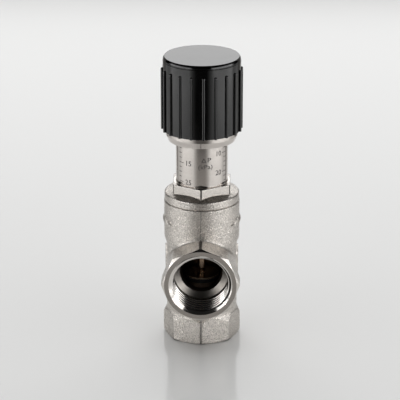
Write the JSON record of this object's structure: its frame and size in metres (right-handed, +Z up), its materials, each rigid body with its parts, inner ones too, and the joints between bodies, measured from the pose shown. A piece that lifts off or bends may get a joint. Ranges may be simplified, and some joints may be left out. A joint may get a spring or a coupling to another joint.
{
  "type": "angle bypass valve",
  "caption": "Angle bypass valve in plated brass: a forged elbow with octagonal threaded ports, a graduated bonnet and a ribbed knob that loads a spring to set the opening pressure.",
  "frame": {"origin": "centre of the inlet port's face, on the axis of the bonnet and knob", "axes": "+Z up the valve's axis to the knob, -Y out of the outlet port, +X to the right of someone who looks into the outlet"},
  "size_m": [0.0276, 0.036, 0.1003],
  "materials": {
    "forged_nickel": "shot-blasted forged brass with satin nickel plate",
    "turned_nickel": "turned brass with bright nickel plate",
    "bare_brass": "turned brass, bare",
    "bright_steel": "stainless steel",
    "seal_rubber": "moulded rubber",
    "knob_plastic": "moulded black plastic, glossy"
  },
  "bodies": {
    "housing": {"valve_body": "forged_nickel", "bonnet": "turned_nickel", "bonnet_seal": "seal_rubber", "guide_plug": "bare_brass", "stem_seal": "seal_rubber", "seal_washer": "bright_steel", "pressure_spring": "bright_steel"},
    "follower": {"spring_follower": "bare_brass"},
    "adjuster": {"knob": "knob_plastic", "knob_cap": "knob_plastic", "pointer_collar": "turned_nickel", "adjusting_spindle": "bare_brass", "spindle_stop_ring": "bright_steel", "knob_screw": "bright_steel", "knob_washer": "bright_steel"},
    "obturator": {"stem": "bare_brass", "disc_seal": "seal_rubber", "clamp_washer": "bright_steel", "disc_nut": "bright_steel", "lower_spring_seat": "bare_brass", "stem_clip": "bright_steel"}
  },
  "joints": [
    {"name": "follower_slide", "type": "slide", "parent": "housing", "child": "follower", "axis": [0, 0, -1], "range_m": [0, 0.0135], "deforming": ["pressure_spring"]},
    {"name": "knob_turn", "type": "hinge", "parent": "follower", "child": "adjuster", "pos_m": [0, 0, 0.0713], "axis": [0, 0, -1], "range_deg": [0, 3240]},
    {"name": "disc_lift", "type": "slide", "parent": "housing", "child": "obturator", "axis": [0, 0, 1], "range_m": [0, 0.00355], "stiffness_N_per_m": 124, "springref_m": -0.0033, "deforming": ["pressure_spring"]}
  ],
  "couplings": [
    {"joint": "follower_slide", "follows": "knob_turn", "m_per_rad": 0.00023873}
  ]
}
